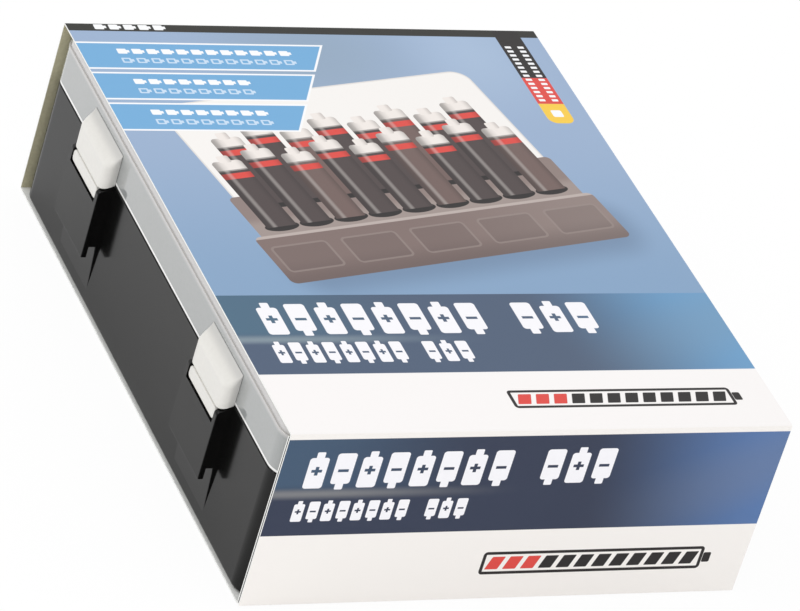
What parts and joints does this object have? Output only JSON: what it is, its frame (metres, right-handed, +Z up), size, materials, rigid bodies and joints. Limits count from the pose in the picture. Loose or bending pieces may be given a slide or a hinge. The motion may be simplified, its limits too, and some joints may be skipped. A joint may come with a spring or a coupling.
{
  "type": "battery storage box",
  "caption": "Flat battery storage box with a black base, frosted hinged lid, side snap latches and a cell tray, held in a sliding printed board sleeve.",
  "frame": {"origin": "middle of the sleeve's underside, on the plane that the box rests on", "axes": "+Z up out of the lid, +X from the latch side to the hinge side, +Y from the sleeve's front panel to its back panel"},
  "size_m": [0.1588, 0.192, 0.058],
  "materials": {
    "printed_board": "coated board with a satin print, blue over white, raw pale board inside",
    "base_plastic": "glossy black moulding",
    "lid_plastic": "frosted translucent white moulding",
    "latch_plastic": "milky white satin moulding",
    "tray_plastic": "dark satin moulding",
    "pin_plastic": "dark satin moulding"
  },
  "bodies": {
    "box": {"base_shell": "base_plastic", "cell_tray": "tray_plastic", "lid_shell": "lid_plastic", "hinge_pin_front": "pin_plastic", "hinge_pin_back": "pin_plastic"},
    "sleeve": {"sleeve_board": "printed_board"},
    "latch_front": {"latch_front": "latch_plastic"},
    "latch_back": {"latch_back": "latch_plastic"}
  },
  "joints": [
    {"name": "sleeve_slide", "type": "slide", "parent": "box", "child": "sleeve", "axis": [1, 0, 0], "range_m": [-0.17, 0.17]},
    {"name": "latch_front_flex", "type": "hinge", "parent": "box", "child": "latch_front", "pos_m": [-0.0754, -0.05015, 0.0519], "axis": [0, 1, 0], "range_deg": [0, 90]},
    {"name": "latch_back_flex", "type": "hinge", "parent": "box", "child": "latch_back", "pos_m": [-0.0754, 0.05085, 0.0519], "axis": [0, 1, 0], "range_deg": [0, 90]}
  ]
}
